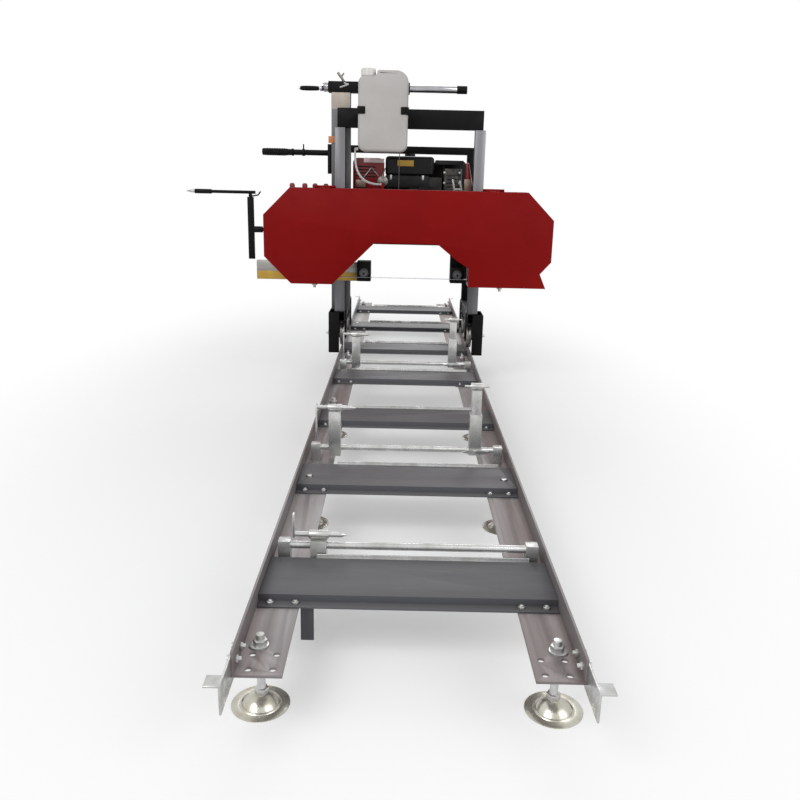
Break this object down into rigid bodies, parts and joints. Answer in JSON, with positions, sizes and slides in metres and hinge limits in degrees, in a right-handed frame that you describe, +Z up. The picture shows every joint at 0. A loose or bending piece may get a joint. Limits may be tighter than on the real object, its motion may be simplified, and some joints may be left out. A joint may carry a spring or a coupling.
{
  "type": "portable band sawmill",
  "caption": "Portable band sawmill: a carriage with an engine-driven band saw head rides on a ladder track with levelling feet, log stops and clamps.",
  "frame": {"origin": "on the floor under the middle of the whole machine's box", "axes": "+Z up, +Y along the track away from the near end, +X across the track to the right as seen from the near end"},
  "size_m": [2.092, 5.6, 1.7833],
  "materials": {
    "rail_steel": "satin",
    "bed_paint": "satin",
    "zinc": "satin",
    "cover_paint": "satin",
    "black_paint": "matte",
    "post_zinc": "satin",
    "shaft_chrome": "polished",
    "tank_plastic": "translucent",
    "cap_plastic": "satin",
    "grip_rubber": "matte",
    "wheel_steel": "satin",
    "cast_wheel": "satin",
    "blade_steel": "satin",
    "arm_paint": "satin",
    "engine_metal": "matte",
    "shroud_red": "gloss",
    "fuel_plastic": "gloss",
    "muffler_metal": "polished",
    "belt_rubber": "matte",
    "hose_clear": "translucent",
    "cable_steel": "satin"
  },
  "bodies": {
    "track": {"rail_left": "rail_steel", "rail_right": "rail_steel", "bed_planks": "bed_paint", "frame_bolts": "zinc", "foot_pads": "zinc", "foot_studs": "zinc", "end_stops": "zinc", "clamp_rods": "zinc", "stop_posts": "zinc"},
    "stop_dog_1": {"stop_dog_1": "zinc"},
    "stop_dog_2": {"stop_dog_2": "zinc"},
    "stop_dog_3": {"stop_dog_3": "zinc"},
    "carriage": {"side_frame_left": "black_paint", "side_frame_right": "black_paint", "guide_post_left": "post_zinc", "guide_post_right": "post_zinc", "top_beam": "black_paint", "rear_frame": "black_paint", "lift_mast": "post_zinc", "hoist_beam": "black_paint", "push_handle": "shaft_chrome", "push_grip": "grip_rubber", "water_tank": "tank_plastic", "wheel_shields": "black_paint", "wheel_axles": "zinc", "lift_cable": "cable_steel", "water_hose": "hose_clear"},
    "hoist": {"hoist_shaft": "shaft_chrome"},
    "hoist_grip": {"hoist_grip": "grip_rubber"},
    "throttle_lever": {"throttle_lever": "black_paint"},
    "tank_cap": {"tank_cap": "cap_plastic"},
    "head": {"head_beam": "black_paint", "rear_guard": "cover_paint", "blade": "blade_steel", "guide_block_right": "wheel_steel", "engine_block": "engine_metal", "engine_shroud": "shroud_red", "fuel_tank": "fuel_plastic", "muffler": "muffler_metal", "drive_belt": "belt_rubber"},
    "front_cover": {"front_cover": "cover_paint"},
    "drive_wheel": {"drive_wheel": "cast_wheel"},
    "idler_slide": {"idler_slide": "wheel_steel"},
    "idler_wheel": {"idler_wheel": "cast_wheel"},
    "tension_crank": {"tension_crank": "zinc"},
    "guide_arm": {"guide_arm": "arm_paint", "guide_block_left": "wheel_steel"},
    "guide_roller_left": {"guide_roller_left": "shaft_chrome"},
    "guide_roller_right": {"guide_roller_right": "shaft_chrome"},
    "engine_pulley": {"engine_pulley": "cast_wheel"},
    "wheel_front_left": {"wheel_front_left": "wheel_steel"},
    "wheel_front_right": {"wheel_front_right": "wheel_steel"},
    "wheel_rear_left": {"wheel_rear_left": "wheel_steel"},
    "wheel_rear_right": {"wheel_rear_right": "wheel_steel"},
    "clamp_base_2": {"clamp_base_2": "zinc"},
    "clamp_riser_2": {"clamp_riser_2": "zinc"},
    "clamp_lever_2": {"clamp_lever_2": "zinc"},
    "clamp_base_3": {"clamp_base_3": "zinc"},
    "clamp_riser_3": {"clamp_riser_3": "zinc"},
    "clamp_lever_3": {"clamp_lever_3": "zinc"}
  },
  "joints": [
    {"name": "carriage_travel", "type": "slide", "parent": "track", "child": "carriage", "axis": [0, 1, 0], "range_m": [-3.31, 1.53]},
    {"name": "wheel_front_left_spin", "type": "hinge", "parent": "carriage", "child": "wheel_front_left", "pos_m": [-0.153, 0.662, 0.2803], "axis": [1, 0, 0], "continuous": true},
    {"name": "wheel_front_right_spin", "type": "hinge", "parent": "carriage", "child": "wheel_front_right", "pos_m": [0.621, 0.662, 0.2803], "axis": [1, 0, 0], "continuous": true},
    {"name": "wheel_rear_left_spin", "type": "hinge", "parent": "carriage", "child": "wheel_rear_left", "pos_m": [-0.153, 1.12, 0.2803], "axis": [1, 0, 0], "continuous": true},
    {"name": "wheel_rear_right_spin", "type": "hinge", "parent": "carriage", "child": "wheel_rear_right", "pos_m": [0.621, 1.12, 0.2803], "axis": [1, 0, 0], "continuous": true},
    {"name": "head_lift", "type": "slide", "parent": "carriage", "child": "head", "axis": [0, 0, 1], "range_m": [-0.355, 0.15], "deforming": ["lift_cable", "water_hose"]},
    {"name": "hoist_turn", "type": "hinge", "parent": "carriage", "child": "hoist", "pos_m": [0.234, 0.68, 1.7], "axis": [1, 0, 0], "range_deg": [-325, 765]},
    {"name": "hoist_grip_spin", "type": "hinge", "parent": "hoist", "child": "hoist_grip", "pos_m": [-0.3315, 0.53, 1.677], "axis": [1, 0, 0], "continuous": true},
    {"name": "throttle_squeeze", "type": "hinge", "parent": "carriage", "child": "throttle_lever", "pos_m": [-0.386, 0.68, 1.339], "axis": [1, 0, 0], "range_deg": [0, 40], "stiffness_Nm_per_rad": 0.2, "springref_deg": -17.19},
    {"name": "tank_cap_turn", "type": "hinge", "parent": "carriage", "child": "tank_cap", "pos_m": [-0.004, 0.5117, 1.755], "axis": [0, 0, 1], "continuous": true},
    {"name": "cover_hinge", "type": "hinge", "parent": "head", "child": "front_cover", "pos_m": [0.234, 0.405, 1.1523], "axis": [-1, 0, 0], "range_deg": [0, 110]},
    {"name": "drive_spin", "type": "hinge", "parent": "head", "child": "drive_wheel", "pos_m": [0.781, 0.429, 0.88], "axis": [0, 1, 0], "continuous": true},
    {"name": "idler_tension", "type": "slide", "parent": "head", "child": "idler_slide", "axis": [1, 0, 0], "range_m": [0, 0.01]},
    {"name": "idler_spin", "type": "hinge", "parent": "idler_slide", "child": "idler_wheel", "pos_m": [-0.313, 0.429, 0.88], "axis": [0, 1, 0], "continuous": true},
    {"name": "tension_turn", "type": "hinge", "parent": "head", "child": "tension_crank", "pos_m": [-0.611, 0.535, 0.902], "axis": [1, 0, 0], "range_deg": [0, 1800]},
    {"name": "arm_slide", "type": "slide", "parent": "head", "child": "guide_arm", "axis": [1, 0, 0], "range_m": [0, 0.3]},
    {"name": "roller_left_spin", "type": "hinge", "parent": "guide_arm", "child": "guide_roller_left", "pos_m": [-0.017, 0.429, 0.673], "axis": [0, 1, 0], "continuous": true},
    {"name": "roller_right_spin", "type": "hinge", "parent": "head", "child": "guide_roller_right", "pos_m": [0.523, 0.429, 0.673], "axis": [0, 1, 0], "continuous": true},
    {"name": "engine_pulley_spin", "type": "hinge", "parent": "head", "child": "engine_pulley", "pos_m": [0.334, 0.68, 1.115], "axis": [0, 1, 0], "continuous": true},
    {"name": "stop_dog_1_push", "type": "slide", "parent": "track", "child": "stop_dog_1", "axis": [1, 0, 0], "range_m": [0, 0.036]},
    {"name": "stop_dog_2_push", "type": "slide", "parent": "track", "child": "stop_dog_2", "axis": [1, 0, 0], "range_m": [0, 0.036]},
    {"name": "stop_dog_3_push", "type": "slide", "parent": "track", "child": "stop_dog_3", "axis": [1, 0, 0], "range_m": [0, 0.036]},
    {"name": "clamp_2_slide", "type": "slide", "parent": "track", "child": "clamp_base_2", "axis": [1, 0, 0], "range_m": [-0.3, 0.02]},
    {"name": "clamp_2_raise", "type": "slide", "parent": "clamp_base_2", "child": "clamp_riser_2", "axis": [0, 0, 1], "range_m": [-0.085, 0.02]},
    {"name": "clamp_2_lock", "type": "hinge", "parent": "clamp_base_2", "child": "clamp_lever_2", "pos_m": [0.494, -1.3188, 0.207], "axis": [0, -1, 0], "range_deg": [0, 60]},
    {"name": "clamp_3_slide", "type": "slide", "parent": "track", "child": "clamp_base_3", "axis": [1, 0, 0], "range_m": [-0.3, 0.02]},
    {"name": "clamp_3_raise", "type": "slide", "parent": "clamp_base_3", "child": "clamp_riser_3", "axis": [0, 0, 1], "range_m": [-0.085, 0.02]},
    {"name": "clamp_3_lock", "type": "hinge", "parent": "clamp_base_3", "child": "clamp_lever_3", "pos_m": [0.494, 0.1512, 0.207], "axis": [0, -1, 0], "range_deg": [0, 60]}
  ],
  "couplings": [
    {"joint": "wheel_front_left_spin", "follows": "carriage_travel", "rad_per_m": -15.385},
    {"joint": "wheel_front_right_spin", "follows": "carriage_travel", "rad_per_m": -15.385},
    {"joint": "wheel_rear_left_spin", "follows": "carriage_travel", "rad_per_m": -15.385},
    {"joint": "wheel_rear_right_spin", "follows": "carriage_travel", "rad_per_m": -15.385},
    {"joint": "hoist_turn", "follows": "head_lift", "rad_per_m": -37.313},
    {"joint": "idler_spin", "follows": "drive_spin", "ratio": 1},
    {"joint": "tension_turn", "follows": "idler_tension", "rad_per_m": 3141.6},
    {"joint": "roller_left_spin", "follows": "drive_spin", "ratio": 10.871},
    {"joint": "roller_right_spin", "follows": "drive_spin", "ratio": 10.871},
    {"joint": "engine_pulley_spin", "follows": "drive_spin", "ratio": 1.8889}
  ]
}
